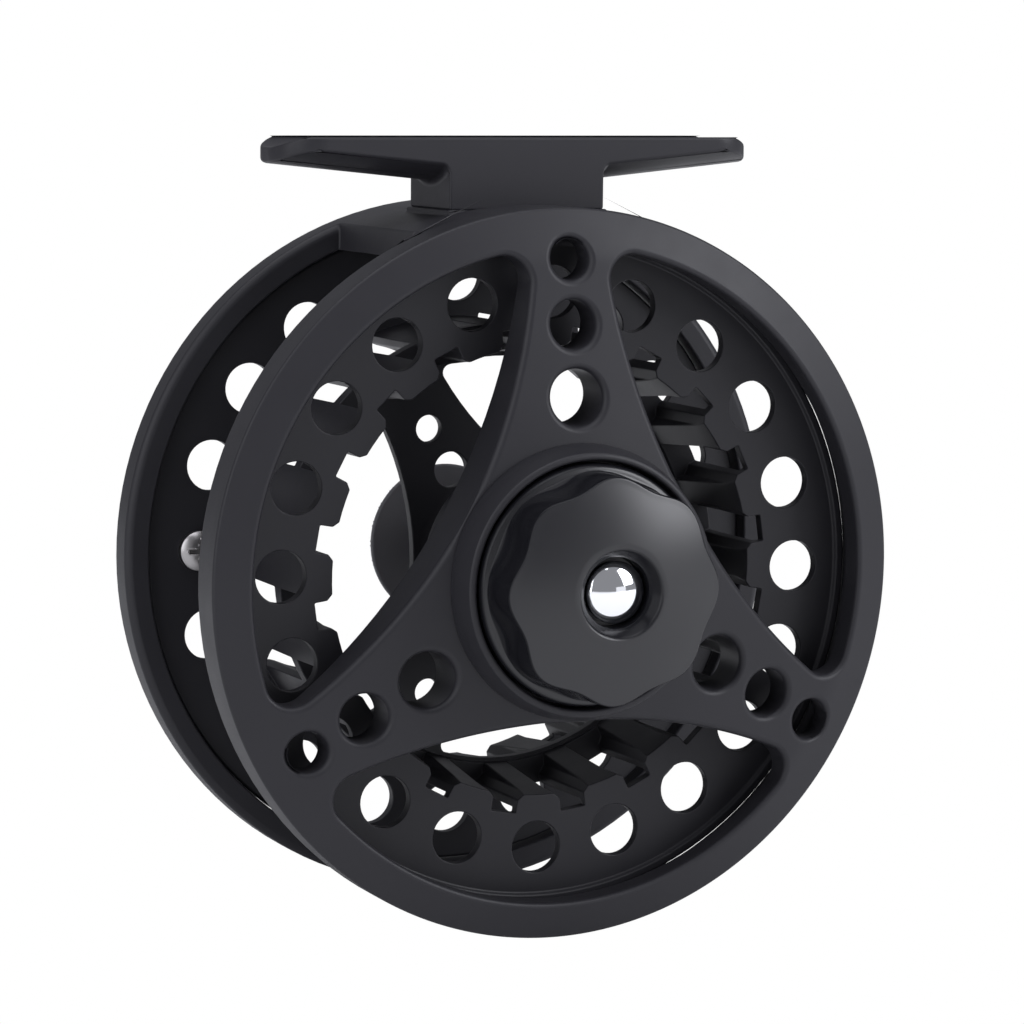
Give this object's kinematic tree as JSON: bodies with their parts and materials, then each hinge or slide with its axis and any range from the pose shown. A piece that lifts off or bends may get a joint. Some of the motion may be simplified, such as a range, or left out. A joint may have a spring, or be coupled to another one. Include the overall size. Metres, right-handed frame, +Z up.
{
  "type": "fly reel",
  "caption": "Fly reel with a ported spoke frame, foot, caged large-arbor spool, lobed drag knob and sealed disc drag; the spool, handle and knob turn.",
  "frame": {"origin": "centre of the flat strip along the bottom of the saddle on top of the foot", "axes": "+Z up out of the foot towards the rod, X along the rod and the foot, spindle along Y with the drag knob facing -Y and the handle facing +Y"},
  "size_m": [0.0862, 0.0758, 0.0941],
  "materials": {
    "case_black": "satin black anodised aluminium",
    "foot_black": "satin black anodised aluminium",
    "knob_black": "satin face, glossy scallops",
    "grip_black": "matt",
    "steel": "turned",
    "chrome": "polished",
    "brass": "machined",
    "bronze": "sintered",
    "cork": "fine grained cork",
    "nylon": "matt",
    "seal_rubber": "matt"
  },
  "bodies": {
    "frame": {"frame": "case_black", "foot": "foot_black", "foot_screws": "steel", "spindle": "steel", "spindle_pin": "steel", "spindle_end_nut": "chrome", "knob_washer": "nylon", "spring_seat": "steel", "disc_springs": "steel", "drag_washer": "cork", "spindle_clip": "steel", "thrust_washer": "nylon", "pawl_pin": "steel", "click_spring": "steel", "housing_cover": "case_black", "housing_clip": "steel", "shaft_seal": "seal_rubber", "cap_washer": "nylon"},
    "drag_knob": {"drag_knob": "knob_black"},
    "drag_nut": {"drag_nut": "brass"},
    "drag_rotor": {"drag_rotor": "steel", "clutch_bearing": "steel"},
    "click_pawl": {"click_pawl": "brass"},
    "spool": {"spool": "case_black", "spool_bushes": "bronze", "drive_sleeve": "steel", "click_gear": "brass", "handle_post": "steel", "handle_washer": "nylon", "handle_screw": "steel", "counterweight": "steel", "counterweight_screw": "steel"},
    "handle": {"handle_grip": "grip_black"},
    "spool_cap": {"spool_cap": "case_black"}
  },
  "joints": [
    {"name": "spool_spin", "type": "hinge", "parent": "frame", "child": "spool", "pos_m": [0, 0.003, -0.0498], "axis": [0, 1, 0], "continuous": true},
    {"name": "drag_rotor_slip", "type": "hinge", "parent": "frame", "child": "drag_rotor", "pos_m": [0, -0.017, -0.0498], "axis": [0, 1, 0], "continuous": true},
    {"name": "drag_knob_turn", "type": "hinge", "parent": "frame", "child": "drag_knob", "pos_m": [0, -0.028, -0.0498], "axis": [0, 1, 0], "range_deg": [0, 360]},
    {"name": "drag_nut_travel", "type": "slide", "parent": "drag_knob", "child": "drag_nut", "axis": [0, 1, 0], "range_m": [0, 0.0008]},
    {"name": "click_pawl_rock", "type": "hinge", "parent": "frame", "child": "click_pawl", "pos_m": [0.0013, -0.0095, -0.03989], "axis": [0, 1, 0], "range_deg": [-10, 10], "stiffness_Nm_per_rad": 0.0005},
    {"name": "handle_spin", "type": "hinge", "parent": "spool", "child": "handle", "pos_m": [0.03349, 0.03, -0.05038], "axis": [0, 1, 0], "continuous": true},
    {"name": "spool_cap_turn", "type": "hinge", "parent": "frame", "child": "spool_cap", "pos_m": [0, 0.02, -0.0498], "axis": [0, 1, 0], "range_deg": [0, 1080]}
  ],
  "couplings": [
    {"joint": "drag_nut_travel", "follows": "drag_knob_turn", "m_per_rad": 0.00012732}
  ]
}
